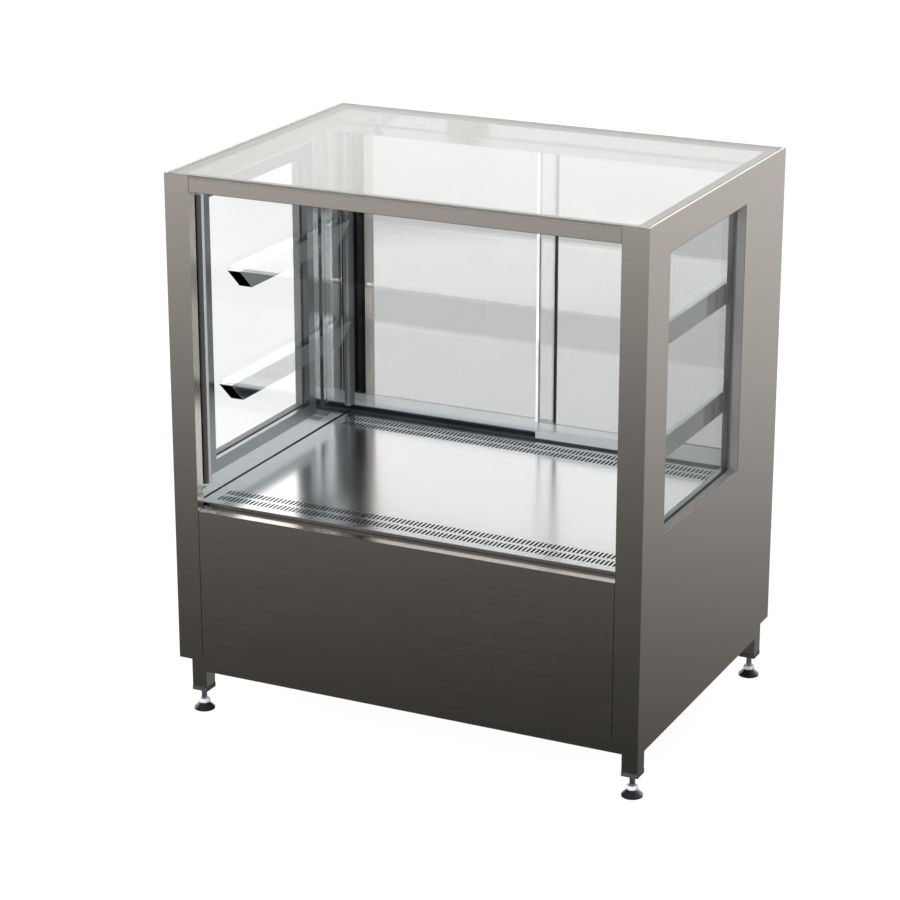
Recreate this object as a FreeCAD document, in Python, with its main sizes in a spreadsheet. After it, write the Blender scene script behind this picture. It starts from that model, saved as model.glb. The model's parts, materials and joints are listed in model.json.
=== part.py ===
"""Bakery display case: a steel counter with glass shelves, sliding rear doors and a cooled deck.

Frame: +X to the customer's right, +Y from the open front to the staff side, +Z up.
The origin is the centre of the footprint, on the floor. Millimetres.
"""
import FreeCAD, Part
import math
import os
import re
import Sketcher

# Driving dimensions. Heights from the floor end in _level, distances back from the
# front face end in _back, and the rest are sizes.
DIMENSIONS = {
    "case_width": 900,
    "case_depth": 648,
    "case_top": 1015,
    "panel_bottom": 113,
    "wall": 30,
    "skin": 1.5,
    "liner": 1,
    "stile_width": 48,
    "stile_return": 20,
    "tube": 30,
    "tube_wall": 1.5,
    "air_gap": 0.3,
    "screw_radius": 2,
    "screw_head_radius": 4,
    "screw_head_height": 2.4,
    "screw_inset": 20,
    # base frame and feet
    "leg_side_inset": 10,
    "leg_front_inset": 26,
    "leg_rear_inset": 11,
    "leg_bottom": 40,
    "cap_height": 8,
    "cap_overhang": 0.6,
    "plug_length": 15,
    "stem_radius": 5,
    "thread_clearance": 0.05,
    "stem_top": 80,
    "pad_radius": 19,
    "pad_rim": 3,
    "pad_height": 13,
    "pad_neck": 8,
    "socket_floor": 7,
    "hex_height": 6,
    "hex_radius": 9,
    "plate": 3,
    "plate_slot_width": 8,
    "plate_slot_pitch": 20,
    "plate_slot_count": 12,
    "plate_slot_front": 420,
    "plate_slot_rear": 490,
    # side windows
    "window_front": 94.5,
    "window_rear": 452,
    "window_low": 466,
    "window_high": 955.5,
    "reveal": 16,
    "pane": 6,
    "pane_overlap": 10,
    "frame_band": 22,
    "frame_proud": 2,
    # deck, front panel and tank
    "panel_height": 289,
    "panel_gap": 1,
    "joint_gap": 0.6,
    "flange_drop": 16,
    "bottom_lip": 20,
    "deck_level": 409,
    "deck_front": 33,
    "deck_rear": 604,
    "deck_side_gap": 2.4,
    "deck_skirt": 6.7,
    "slot_pitch": 8,
    "slot_count": 99,
    "slot_width": 4,
    "slot_length": 23,
    "slot_row_1": 65,
    "slot_row_2": 96,
    "slot_row_3": 543,
    "slot_row_4": 573,
    "tank_floor": 290,
    "tank_rear": 592,
    "tank_inset_side": 20,
    "tank_inset_end": 20,
    "foam_floor": 268,
    "rim_gap": 1,
    "pipe_hole": 8,
    # top
    "top_lip": 4.5,
    "top_pane": 4,
    "seal": 0.5,
    "top_gap": 1,
    "top_end_gap": 2,
    # rear doors
    "post_width": 17,
    "post_front": 637.5,
    "jamb_seal": 9,
    "jamb_seal_depth": 7.5,
    "track_front": 605.5,
    "track_depth": 31,
    "track_floor": 411,
    "track_lip": 413.5,
    "track_rib": 421,
    "track_wall": 1.7,
    "top_track_height": 16,
    "front_door_back": 613,
    "rear_door_back": 629,
    "groove_half": 5.8,
    "shoe_half": 5.4,
    "shoe_height": 33,
    "shoe_seat": 4,
    "door_top_gap": 8,
    "door_overlap": 32,
    "bumper_thick": 5.5,
    "door_gap": 6.5,
    "pull_side": 376,
    "pull_width": 16,
    "pull_depth": 8,
    "pull_wall": 1.6,
    "pull_top_gap": 8,
    # shelves
    "upright_front": 503,
    "upright_rear": 524,
    "upright_thick": 4,
    "upright_low": 446,
    "upright_top_gap": 5,
    "upright_screw_inset": 12,
    "arm_width": 26,
    "arm_height": 39,
    "arm_mitre_front": 42,
    "arm_mitre_rear": 46,
    "upper_arm_level": 809,
    "upper_arm_front": 148,
    "lower_arm_level": 608,
    "lower_arm_front": 108,
    "arm_rear": 573,
    "shelf_pane": 6,
    "shelf_side_gap": 5,
    # lights
    "lamp_radius": 10.5,
    "lamp_gap": 0.2,
    "lens_half": 4,
    "lens_start": 3,
    "lens_drop": 0.5,
    "lamp_back": 42,
    "lamp_low": 443,
    "lamp_high": 973,
    # display and rear controls
    "display_left": 206,
    "display_right": 124,
    "display_low": 986,
    "display_high": 1008,
    "display_proud": 2.5,
    "display_depth": 18,
    "display_flange": 2,
    "rear_recess": 18,
    "knob_side": 300,
    "knob_level": 345,
    "knob_radius": 15,
    "knob_depth": 14,
    "knob_rib": 3,
    "spindle_radius": 3,
    "switch_side": 240,
    "switch_half_width": 9,
    "switch_half_height": 12,
    "rocker_half_width": 7,
    "rocker_half_height": 8,
    "rocker_depth": 8,
    "rocker_pivot_depth": 3,
    "rocker_pivot_radius": 2,
    "gland_side": 360,
    "gland_level": 160,
    "gland_radius": 8,
    "gland_flange_radius": 13,
    "gland_flange": 5,
    "gland_bore": 4.5,
    "gland_inside": 10,
    "gland_outside": 16,
    "rear_slot_half": 45,
    "rear_slot_radius": 4,
    "rear_slot_pitch": 18,
    "rear_slot_count": 13,
    # cooling
    "compressor_side": -250,
    "compressor_back": 374,
    "compressor_radius": 62,
    "compressor_low": 122,
    "compressor_high": 255,
    "mount_half_width": 90,
    "mount_half_depth": 55,
    "mount_plate": 2,
    "grommet_side": 78,
    "grommet_depth": 42,
    "grommet_radius": 9,
    "condenser_left": 10,
    "condenser_right": 250,
    "condenser_front": 540,
    "condenser_back": 590,
    "coil_low": 122,
    "coil_high": 258,
    "coil_pipe": 4,
    "coil_pipe_end": 6,
    "fin": 1,
    "fan_side": 130,
    "fan_front": 502,
    "fan_depth": 38,
    "fan_radius": 60,
    "hub_radius": 18,
    "fan_shaft": 4,
    "fan_tip_gap": 2,
    "fan_frame_edge": 4,
    "fan_arm": 3,
    "blade": 1.6,
    "blade_root": 4,
    "condenser_blade": 21,
    "chill_blade": 13,
    "evaporator_half": 300,
    "evaporator_front": 120,
    "evaporator_back": 210,
    "evaporator_low": 300,
    "evaporator_high": 376,
    "chill_fan_front": 240,
    "chill_fan_radius": 38,
    "chill_hub_radius": 14,
    "chill_fan_depth": 25,
}

# Places worked out from the driving dimensions.
OUTER = "(case_width / 2)"
INNER = "(case_width / 2 - wall)"
STILE = "(case_width / 2 - stile_width)"
FRONT = "(-case_depth / 2)"
REAR = "(case_depth / 2)"
SILL = "(panel_bottom + panel_height)"
RAIL_LOW = "(case_top - tube)"
GLASS_LOW = "(case_top - top_pane)"
POST_INNER = "(case_width / 2 - wall - post_width)"
DOOR_END = "(case_width / 2 - wall - door_gap)"
LEDGE = "(case_top - top_pane - seal)"
TOP_TRACK_LOW = "(case_top - tube - top_track_height)"
FRONT_LEG = "leg_front_inset"
REAR_LEG = "(case_depth - leg_rear_inset - tube)"
WINDOW_MID_X = "(case_width / 2 - reveal - pane)"


def back(distance):
    """A Y place, measured back from the front face."""
    return f"({distance} - case_depth / 2)"


doc = FreeCAD.newDocument("display_case")
sheet = doc.addObject("Spreadsheet::Sheet", "dims")
for row, (alias, value) in enumerate(DIMENSIONS.items(), start=1):
    sheet.set(f"A{row}", alias)
    sheet.set(f"B{row}", str(value))
    sheet.setAlias(f"B{row}", alias)
doc.recompute()

ALIAS = re.compile(r"[a-z][a-z_0-9]{2,}")
ORIGIN = FreeCAD.Vector(0, 0, 0)
LENGTHS = ("Length", "Width", "Height")
TURN_TO = {
    "x": FreeCAD.Rotation(FreeCAD.Vector(0, 1, 0), 90),
    "y": FreeCAD.Rotation(FreeCAD.Vector(1, 0, 0), -90),
    "z": FreeCAD.Rotation(),
}
nodes = []
pockets = []


def bound(formula):
    """Point a formula's names at the sheet's cells."""
    return ALIAS.sub(lambda word: "dims." + word.group(), formula)


def node(name, shape_object):
    """Name a finished sub-part and list it for export."""
    shape_object.Label = name
    nodes.append(shape_object)
    return shape_object


# ---------------------------------------------------------------- Part primitives

def block(x, y, z):
    """A box between two formulas on each axis."""
    solid = doc.addObject("Part::Box", "block")
    for length, axis, (low, high) in zip(LENGTHS, "xyz", (x, y, z)):
        solid.setExpression(length, bound(f"({high}) - ({low})"))
        solid.setExpression(f"Placement.Base.{axis}", bound(low))
    return solid


def rod(axis, start, length, radius):
    """A cylinder from a start point along one axis."""
    solid = doc.addObject("Part::Cylinder", "rod")
    solid.Placement = FreeCAD.Placement(ORIGIN, TURN_TO[axis])
    solid.setExpression("Radius", bound(radius))
    solid.setExpression("Height", bound(length))
    for name, place in zip("xyz", start):
        solid.setExpression(f"Placement.Base.{name}", bound(place))
    return solid


def fuse(*parts):
    joined = doc.addObject("Part::MultiFuse", "fuse")
    joined.Shapes = list(parts)
    joined.Refine = True
    return joined


def cut(base, *tools):
    left = doc.addObject("Part::Cut", "cut")
    left.Base = base
    left.Tool = tools[0] if len(tools) == 1 else fuse(*tools)
    return left


def group(*parts):
    """Separate solids kept in one node."""
    together = doc.addObject("Part::Compound", "group")
    together.Links = list(parts)
    return together


def mirrored(source):
    """The same piece on the other side of the case."""
    other = doc.addObject("Part::Mirroring", "mirror")
    other.Source = source
    other.Normal = FreeCAD.Vector(1, 0, 0)
    return other


def pair(source):
    return group(source, mirrored(source))


# ---------------------------------------------------------------- PartDesign helpers

def origin_plane(body, role):
    return next(item for item in body.Origin.OriginFeatures if item.Role == role)


def on_circle(index, count):
    """A starting place for a corner, before the sheet moves it."""
    angle = 2 * math.pi * index / count
    return FreeCAD.Vector(10 * math.cos(angle), 10 * math.sin(angle), 0)


def flat_sketch(body, role, offset):
    sketch = body.newObject("Sketcher::SketchObject", "sketch")
    sketch.AttachmentSupport = (origin_plane(body, role), [""])
    sketch.MapMode = "FlatFace"
    sketch.setExpression("AttachmentOffset.Base.z", bound(offset))
    return sketch


def hold(sketch, kind, edge, corner, start_value, formula):
    """Bind one coordinate of a corner to the sheet."""
    number = sketch.addConstraint(Sketcher.Constraint(kind, -1, 1, edge, corner, start_value))
    sketch.setExpression(f"Constraints[{number}]", bound(formula))


def draw_loop(sketch, corners):
    """A closed outline through corners given as formulas."""
    first = sketch.GeometryCount
    count = len(corners)
    for index in range(count):
        line = Part.LineSegment(on_circle(index, count), on_circle(index + 1, count))
        sketch.addGeometry(line, False)
    for index in range(count):
        following = first + (index + 1) % count
        sketch.addConstraint(Sketcher.Constraint("Coincident", first + index, 2, following, 1))
    for index, (across, up) in enumerate(corners):
        start = on_circle(index, count)
        hold(sketch, "DistanceX", first + index, 1, start.x, across)
        hold(sketch, "DistanceY", first + index, 1, start.y, up)


def rectangle(left, right, low, high):
    return [(left, low), (right, low), (right, high), (left, high)]


def add_pad(body, role, span, *loops):
    """Add material between two levels along the plane's axis."""
    low, high = span
    offset = f"-({high})" if role == "XZ_Plane" else low
    sketch = flat_sketch(body, role, offset)
    for corners in loops:
        draw_loop(sketch, corners)
    pad = body.newObject("PartDesign::Pad", "pad")
    pad.Profile = sketch
    pad.setExpression("Length", bound(f"({high}) - ({low})"))
    return pad


def set_pocket(body, role, span, sketch):
    low, high = span
    hollow = body.newObject("PartDesign::Pocket", "pocket")
    hollow.Profile = sketch
    hollow.setExpression("Length", bound(f"({high}) - ({low})"))
    pockets.append(hollow)
    return hollow


def add_pocket(body, role, span, *loops):
    """Take material away between two levels along the plane's axis."""
    low, high = span
    offset = f"-({low})" if role == "XZ_Plane" else high
    sketch = flat_sketch(body, role, offset)
    for corners in loops:
        draw_loop(sketch, corners)
    return set_pocket(body, role, span, sketch)


def prism(role, span, *loops):
    body = doc.addObject("PartDesign::Body", "body")
    add_pad(body, role, span, *loops)
    return body


def turned(x, y, corners):
    """A body turned about a vertical axis at x, y."""
    body = doc.addObject("PartDesign::Body", "body")
    sketch = flat_sketch(body, "XZ_Plane", "0")
    draw_loop(sketch, corners)
    turn = body.newObject("PartDesign::Revolution", "turn")
    turn.Profile = sketch
    turn.ReferenceAxis = (sketch, ["V_Axis"])
    turn.Angle = 360
    body.setExpression("Placement.Base.x", bound(x))
    body.setExpression("Placement.Base.y", bound(y))
    return body


def repeat(body, feature, axis_name, spacing, count):
    """Repeat a feature in a line, along one of its sketch's axes."""
    pattern = body.newObject("PartDesign::LinearPattern", "pattern")
    pattern.Originals = [feature]
    pattern.Direction = (feature.Profile[0], [axis_name])
    pattern.setExpression("Length", bound(f"({spacing}) * (({count}) - 1)"))
    pattern.setExpression("Occurrences", bound(count))
    body.Tip = pattern
    return pattern


def draw_slot(sketch, centre, half_length, radius, upright):
    """A round-ended slot; centre, half_length and radius are (value, formula) pairs."""
    (middle_x, formula_x), (middle_y, formula_y) = centre
    straight = half_length[0] - radius[0]
    along = FreeCAD.Vector(0, straight, 0) if upright else FreeCAD.Vector(straight, 0, 0)
    side = FreeCAD.Vector(radius[0], 0, 0) if upright else FreeCAD.Vector(0, -radius[0], 0)
    middle = FreeCAD.Vector(middle_x, middle_y, 0)
    start_angle = 0 if upright else -math.pi / 2
    normal = FreeCAD.Vector(0, 0, 1)
    far = Part.Circle(middle + along, normal, radius[0])
    near = Part.Circle(middle - along, normal, radius[0])
    first = sketch.GeometryCount
    sketch.addGeometry(Part.ArcOfCircle(far, start_angle, start_angle + math.pi), False)
    sketch.addGeometry(Part.ArcOfCircle(near, start_angle + math.pi, start_angle + 2 * math.pi), False)
    sketch.addGeometry(Part.LineSegment(middle - along + side, middle + along + side), False)
    sketch.addGeometry(Part.LineSegment(middle + along - side, middle - along - side), False)
    for one, corner, line, end in ((0, 1, 2, 2), (0, 2, 3, 1), (1, 1, 3, 2), (1, 2, 2, 1)):
        sketch.addConstraint(Sketcher.Constraint("Tangent", first + one, corner, first + line, end))
    sketch.addConstraint(Sketcher.Constraint("Equal", first, first + 1))
    number = sketch.addConstraint(Sketcher.Constraint("Radius", first, radius[0]))
    sketch.setExpression(f"Constraints[{number}]", bound(radius[1]))
    reach = f"(({half_length[1]}) - ({radius[1]}))"
    for arc, sign in ((0, "+"), (1, "-")):
        spot = middle + along if arc == 0 else middle - along
        x_formula = formula_x if upright else f"({formula_x}) {sign} {reach}"
        y_formula = f"({formula_y}) {sign} {reach}" if upright else formula_y
        hold(sketch, "DistanceX", first + arc, 3, spot.x, x_formula)
        hold(sketch, "DistanceY", first + arc, 3, spot.y, y_formula)


# ---------------------------------------------------------------- base frame and feet

def make_base():
    """Four tube legs and four base rails, all square tube."""
    leg_x = (f"-{OUTER} + leg_side_inset", f"-{OUTER} + leg_side_inset + tube")
    bore_x = (f"{leg_x[0]} + tube_wall", f"{leg_x[1]} - tube_wall")
    legs = []
    for start in (FRONT_LEG, REAR_LEG):
        leg_y = (back(start), back(f"{start} + tube"))
        bore_y = (f"{leg_y[0]} + tube_wall", f"{leg_y[1]} - tube_wall")
        leg_z = ("leg_bottom + cap_height", "panel_bottom - plate")
        leg = cut(block(leg_x, leg_y, leg_z), block(bore_x, bore_y, leg_z))
        legs += [leg, mirrored(leg)]
    node("base_legs", group(*legs))

    rail_z = ("panel_bottom - plate - tube", "panel_bottom - plate")
    bore_z = (f"{rail_z[0]} + tube_wall", f"{rail_z[1]} - tube_wall")
    rails = []
    for start in (FRONT_LEG, REAR_LEG):
        rail_x = (leg_x[1], f"-({leg_x[1]})")
        rail_y = (back(start), back(f"{start} + tube"))
        bore_y = (f"{rail_y[0]} + tube_wall", f"{rail_y[1]} - tube_wall")
        rails.append(cut(block(rail_x, rail_y, rail_z), block(rail_x, bore_y, bore_z)))
    node("base_long_rails", group(*rails))

    rail_y = (back(f"{FRONT_LEG} + tube"), back(REAR_LEG))
    node("base_side_rails", pair(cut(block(leg_x, rail_y, rail_z), block(bore_x, rail_y, bore_z))))

    plate_y = (back(FRONT_LEG), back(f"{REAR_LEG} + tube"))
    plate_z = ("panel_bottom - plate", "panel_bottom")
    plate = prism("XY_Plane", plate_z, rectangle(leg_x[0], f"-({leg_x[0]})", *plate_y))
    vent = add_pocket(plate, "XY_Plane", plate_z,
                      rectangle("condenser_left", "condenser_left + plate_slot_width",
                                back("plate_slot_front"), back("plate_slot_rear")))
    repeat(plate, vent, "H_Axis", "plate_slot_pitch", "plate_slot_count")
    node("bottom_plate", plate)


def foot_places():
    """Each foot's name and axis."""
    side = f"({OUTER} - leg_side_inset - tube / 2)"
    for end, start in (("front", FRONT_LEG), ("rear", REAR_LEG)):
        y = back(f"{start} + tube / 2")
        for hand, x in (("left", f"-{side}"), ("right", side)):
            yield f"{end}_{hand}", x, y


def make_feet():
    """Threaded end caps in the legs, and a pad and screw under each."""
    caps = []
    for name, x, y in foot_places():
        wide = "tube / 2 + cap_overhang"
        flange = block((f"{x} - ({wide})", f"{x} + {wide}"), (f"{y} - ({wide})", f"{y} + {wide}"),
                       ("leg_bottom", "leg_bottom + cap_height"))
        inner = "(tube / 2 - tube_wall)"
        plug = block((f"{x} - {inner}", f"{x} + {inner}"), (f"{y} - {inner}", f"{y} + {inner}"),
                     ("leg_bottom + cap_height", "leg_bottom + cap_height + plug_length"))
        bore = rod("z", (x, y, "leg_bottom - 1"), "cap_height + plug_length + 2",
                   "stem_radius + thread_clearance")
        caps.append(cut(fuse(flange, plug), bore))

        socket = "stem_radius + thread_clearance"
        pad = turned(x, y, [
            ("0", "0"), ("pad_radius", "0"), ("pad_radius", "pad_rim"), ("pad_neck", "pad_height"),
            (socket, "pad_height"), (socket, "socket_floor"), ("0", "socket_floor")])
        node(f"foot_pad_{name}", pad)

        hex_low = "pad_height + air_gap"
        screw = rod("z", (x, y, "socket_floor + air_gap"), "stem_top - socket_floor - air_gap",
                    "stem_radius")
        collar = doc.addObject("Part::Prism", "collar")
        collar.Polygon = 6
        collar.setExpression("Circumradius", bound("hex_radius"))
        collar.setExpression("Height", bound("hex_height"))
        for axis, place in zip("xyz", (x, y, hex_low)):
            collar.setExpression(f"Placement.Base.{axis}", bound(place))
        node(f"foot_stem_{name}", fuse(screw, collar))
    node("leg_end_caps", group(*caps))


# ---------------------------------------------------------------- side walls

def window_rectangle(grow):
    """The side window's outline in Y and Z, made larger all round by grow."""
    return rectangle(f"{back('window_front')} - ({grow})", f"{back('window_rear')} + {grow}",
                     f"window_low - ({grow})", f"window_high + {grow}")


def make_outer_skin():
    """A folded sheet: side face, front stile with its return, rear flange, window return.

    The return stops under the top glass, and a small cap closes the stile there.
    """
    cap_x, cap_y = (f"-{OUTER} + skin", f"-{STILE} - skin"), (f"{FRONT} + skin", f"{FRONT} + stile_return")
    body = prism("XY_Plane", ("panel_bottom", "case_top"), [
        (f"-{OUTER}", FRONT), (f"-{STILE}", FRONT), (f"-{STILE}", cap_y[0]), (f"-{OUTER} + skin", cap_y[0]),
        (f"-{OUTER} + skin", f"{REAR} - skin"), (f"-{INNER}", f"{REAR} - skin"),
        (f"-{INNER}", REAR), (f"-{OUTER}", REAR)])
    add_pad(body, "XY_Plane", ("panel_bottom", LEDGE), rectangle(cap_x[1], f"-{STILE}", *cap_y))
    add_pad(body, "XY_Plane", (f"{LEDGE} - skin", LEDGE), rectangle(*cap_x, *cap_y))
    add_pad(body, "XY_Plane", (LEDGE, "case_top"), rectangle(
        cap_x[0], f"{cap_x[0]} + top_lip", *cap_y))
    add_pad(body, "YZ_Plane", (f"-{OUTER} + skin", f"-{OUTER} + reveal"), window_rectangle("skin"))
    add_pocket(body, "YZ_Plane", (f"-{OUTER}", f"-{OUTER} + reveal"), window_rectangle("0"))
    return body


def make_inner_skin():
    """The polished wall sheet, with a short fold that meets the stile's return."""
    fold_y = f"{FRONT} + stile_return"
    body = prism("XY_Plane", (SILL, RAIL_LOW), [
        (f"-{INNER} - liner", back("post_front")), (f"-{INNER} - liner", fold_y),
        (f"-{STILE} - skin", fold_y), (f"-{STILE} - skin", f"{fold_y} + liner"),
        (f"-{INNER}", f"{fold_y} + liner"), (f"-{INNER}", back("post_front"))])
    add_pocket(body, "YZ_Plane", (f"-{INNER} - liner", f"-{INNER}"), window_rectangle("0"))
    return body


def make_sides():
    left_skin = make_outer_skin()
    node("left_outer_skin", left_skin)
    node("right_outer_skin", mirrored(left_skin))
    left_liner = make_inner_skin()
    node("left_inner_skin", left_liner)
    node("right_inner_skin", mirrored(left_liner))

    pane_x = (f"-{OUTER} + reveal", f"-{WINDOW_MID_X}")
    pane = prism("YZ_Plane", pane_x, window_rectangle("pane_overlap"))
    node("left_window_glass", pane)
    node("right_window_glass", mirrored(pane))

    frame = prism("YZ_Plane", (f"-{INNER}", f"-{INNER} + frame_proud"), window_rectangle("frame_band"))
    add_pad(frame, "YZ_Plane", (f"-{WINDOW_MID_X}", f"-{INNER}"), window_rectangle("0"))
    add_pocket(frame, "YZ_Plane", (f"-{WINDOW_MID_X}", f"-{INNER} + frame_proud"),
               window_rectangle("-frame_proud"))
    node("window_frames", pair(frame))


def make_insulation():
    """Foam in both side walls and round the tank."""
    foam_y = (f"{FRONT} + stile_return + liner", f"{REAR} - skin")
    wall_x = (f"-{OUTER} + skin", f"-{INNER} - liner")
    wall_foam = cut(block(wall_x, foam_y, (SILL, RAIL_LOW)),
                    block(wall_x, (back("window_front - pane_overlap"), back("window_rear + pane_overlap")),
                          ("window_low - pane_overlap", "window_high + pane_overlap")))
    outer_x = f"({INNER} - rim_gap)"
    trough = cut(block((f"-{outer_x}", outer_x), (back("deck_front + rim_gap"), back("tank_rear - rim_gap")),
                       ("foam_floor", f"{SILL} - liner")),
                 block((f"-{outer_x} + tank_inset_side", f"{outer_x} - tank_inset_side"),
                       (back("deck_front + rim_gap + tank_inset_end"),
                        back("tank_rear - rim_gap - tank_inset_end")),
                       ("tank_floor", SILL)))
    holes = [rod("z", (x, y, "foam_floor - 1"), "tank_floor - foam_floor + 2", "pipe_hole")
             for x, y in pipe_drops()]
    node("insulation", group(wall_foam, mirrored(wall_foam), cut(trough, *holes)))


def make_tank():
    """The steel tank under the deck, with a rim that lies on the foam."""
    rim_x = f"({INNER} - rim_gap)"
    in_x = f"({rim_x} - tank_inset_side)"
    rim_y = (back("deck_front + rim_gap"), back("tank_rear - rim_gap"))
    in_y = (back("deck_front + rim_gap + tank_inset_end"), back("tank_rear - rim_gap - tank_inset_end"))
    rim = block((f"-{rim_x}", rim_x), rim_y, (f"{SILL} - liner", SILL))
    tub = block((f"-{in_x}", in_x), in_y, ("tank_floor", f"{SILL} - liner"))
    hollow = block((f"-{in_x} + liner", f"{in_x} - liner"),
                   (f"{in_y[0]} + liner", f"{in_y[1]} - liner"), ("tank_floor + liner", f"{SILL} + 1"))
    holes = [rod("z", (x, y, "tank_floor - 1"), "liner + 2", "pipe_hole") for x, y in pipe_drops()]
    node("tank_liner", cut(fuse(rim, tub), hollow, *holes))


# ---------------------------------------------------------------- top

def make_top():
    """Rails round the top carry the glass, which lies inside thin lips at the sides and rear."""
    front_x = (f"-{STILE} + joint_gap", f"{STILE} - joint_gap")
    front_y = (FRONT, f"{FRONT} + tube")
    front = prism("YZ_Plane", front_x, rectangle(*front_y, RAIL_LOW, LEDGE))
    add_pocket(front, "YZ_Plane", front_x, rectangle(
        f"{front_y[0]} + tube_wall", f"{front_y[1]} - tube_wall",
        f"{RAIL_LOW} + tube_wall", f"{LEDGE} - tube_wall"))
    node("top_front_rail", front)

    side_y = (f"{FRONT} + stile_return", f"{REAR} - skin")
    side_x = (f"-{OUTER} + skin", f"-{INNER}")
    side = prism("XZ_Plane", side_y, [
        (side_x[0], RAIL_LOW), (side_x[1], RAIL_LOW), (side_x[1], LEDGE),
        (f"{side_x[0]} + top_lip", LEDGE), (f"{side_x[0]} + top_lip", "case_top"),
        (side_x[0], "case_top")])
    add_pocket(side, "XZ_Plane", side_y, rectangle(
        f"{side_x[0]} + tube_wall", f"{side_x[1]} - tube_wall",
        f"{RAIL_LOW} + tube_wall", f"{LEDGE} - tube_wall"))
    node("top_side_rails", pair(side))

    rear_x, rear_y = (f"-{INNER}", INNER), (f"{REAR} - tube", REAR)
    rear = prism("YZ_Plane", rear_x, [
        (rear_y[0], RAIL_LOW), (rear_y[1], RAIL_LOW), (rear_y[1], "case_top"),
        (f"{rear_y[1]} - skin", "case_top"), (f"{rear_y[1]} - skin", LEDGE), (rear_y[0], LEDGE)])
    add_pocket(rear, "YZ_Plane", rear_x, rectangle(
        f"{rear_y[0]} + tube_wall", f"{rear_y[1]} - tube_wall",
        f"{RAIL_LOW} + tube_wall", f"{LEDGE} - tube_wall"))
    case_x = ("-display_left + display_flange", "-display_right - display_flange")
    case_z = ("display_low + display_flange", "display_high - display_flange")
    node("top_rear_rail", cut(rear, block(
        case_x, (f"{rear_y[0]} - tube_wall", f"{rear_y[0]} + 2 * tube_wall"), case_z)))

    pane_x = f"({OUTER} - skin - top_lip - top_gap)"
    pane_y = (f"{FRONT} + skin + top_end_gap", f"{REAR} - skin - top_end_gap")
    node("top_glass", block((f"-{pane_x}", pane_x), pane_y, (GLASS_LOW, "case_top")))
    seal_z = (LEDGE, GLASS_LOW)
    node("top_glass_seal", cut(block((f"-{pane_x}", pane_x), pane_y, seal_z),
                               block((f"-{INNER}", INNER), (front_y[1], rear_y[0]), seal_z)))

    bezel = block(("-display_left", "-display_right"), (f"{rear_y[0]} - display_proud", rear_y[0]),
                  ("display_low", "display_high"))
    case = block(case_x, (rear_y[0], f"{rear_y[0]} + display_depth"), case_z)
    node("temperature_display", fuse(bezel, case))


# ---------------------------------------------------------------- panels and deck

def make_panels():
    """The folded front panel, and the recessed rear service panel with its air slots."""
    width = (f"-{STILE} + panel_gap", f"{STILE} - panel_gap")
    flange_end = back("deck_front")
    node("front_panel", prism("YZ_Plane", width, [
        (FRONT, "panel_bottom"), (f"{FRONT} + bottom_lip", "panel_bottom"),
        (f"{FRONT} + bottom_lip", "panel_bottom + skin"), (f"{FRONT} + skin", "panel_bottom + skin"),
        (f"{FRONT} + skin", f"{SILL} - skin"), (f"{flange_end} - skin", f"{SILL} - skin"),
        (f"{flange_end} - skin", f"{SILL} - flange_drop"), (flange_end, f"{SILL} - flange_drop"),
        (flange_end, SILL), (FRONT, SILL)]))

    face = (f"{REAR} - rear_recess - skin", f"{REAR} - rear_recess")
    panel = prism("XZ_Plane", face, rectangle(f"-{INNER}", INNER, "panel_bottom", SILL))
    sketch = flat_sketch(panel, "XZ_Plane", f"-({face[0]})")
    draw_slot(sketch, ((20, "condenser_left + rear_slot_pitch / 2"), (190, "(coil_low + coil_high) / 2")),
              (45, "rear_slot_half"), (4, "rear_slot_radius"), True)
    vents = set_pocket(panel, "XZ_Plane", face, sketch)
    repeat(panel, vents, "H_Axis", "rear_slot_pitch", "rear_slot_count")
    start = f"{face[0]} - skin"
    holes = [
        rod("y", ("knob_side", start, "knob_level"), "3 * skin", "spindle_radius + thread_clearance"),
        block(("switch_side - switch_half_width", "switch_side + switch_half_width"),
              (start, f"{face[1]} + skin"),
              ("knob_level - switch_half_height", "knob_level + switch_half_height")),
        rod("y", ("gland_side", start, "gland_level"), "3 * skin", "gland_radius"),
    ]
    holes += [rod("y", (x, start, z), "3 * skin", "screw_radius") for x, z in rear_screws()]
    node("rear_panel", cut(panel, *holes))


def rear_screws():
    """Screw places on the rear service panel."""
    for z in ("panel_bottom + screw_inset", f"{SILL} - screw_inset"):
        for x in (f"-{INNER} + screw_inset", "0", f"{INNER} - screw_inset"):
            yield x, z


def make_deck():
    """The lift-out deck: a folded pan with two rows of air slots at the front and rear."""
    low = "deck_level - deck_skirt"
    half = f"({INNER} - deck_side_gap)"
    front, rear = back("deck_front"), back("deck_rear")
    body = prism("XY_Plane", (low, "deck_level"), rectangle(f"-{half}", half, front, rear))
    add_pocket(body, "XY_Plane", (low, "deck_level - skin"), rectangle(
        f"-{half} + skin", f"{half} - skin", f"{front} + skin", f"{rear} - skin"))
    sketch = flat_sketch(body, "XY_Plane", "deck_level")
    first = "-(slot_pitch * (slot_count - 1) / 2)"
    start = -DIMENSIONS["slot_pitch"] * (DIMENSIONS["slot_count"] - 1) / 2
    for row in ("slot_row_1", "slot_row_2", "slot_row_3", "slot_row_4"):
        depth = DIMENSIONS[row] - DIMENSIONS["case_depth"] / 2
        draw_slot(sketch, ((start, first), (depth, back(row))),
                  (DIMENSIONS["slot_length"] / 2, "slot_length / 2"),
                  (DIMENSIONS["slot_width"] / 2, "slot_width / 2"), True)
    slots = set_pocket(body, "XY_Plane", ("deck_level - 2 * skin", "deck_level"), sketch)
    repeat(body, slots, "H_Axis", "slot_pitch", "slot_count")
    node("deck_pan", body)


# ---------------------------------------------------------------- rear doors

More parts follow.
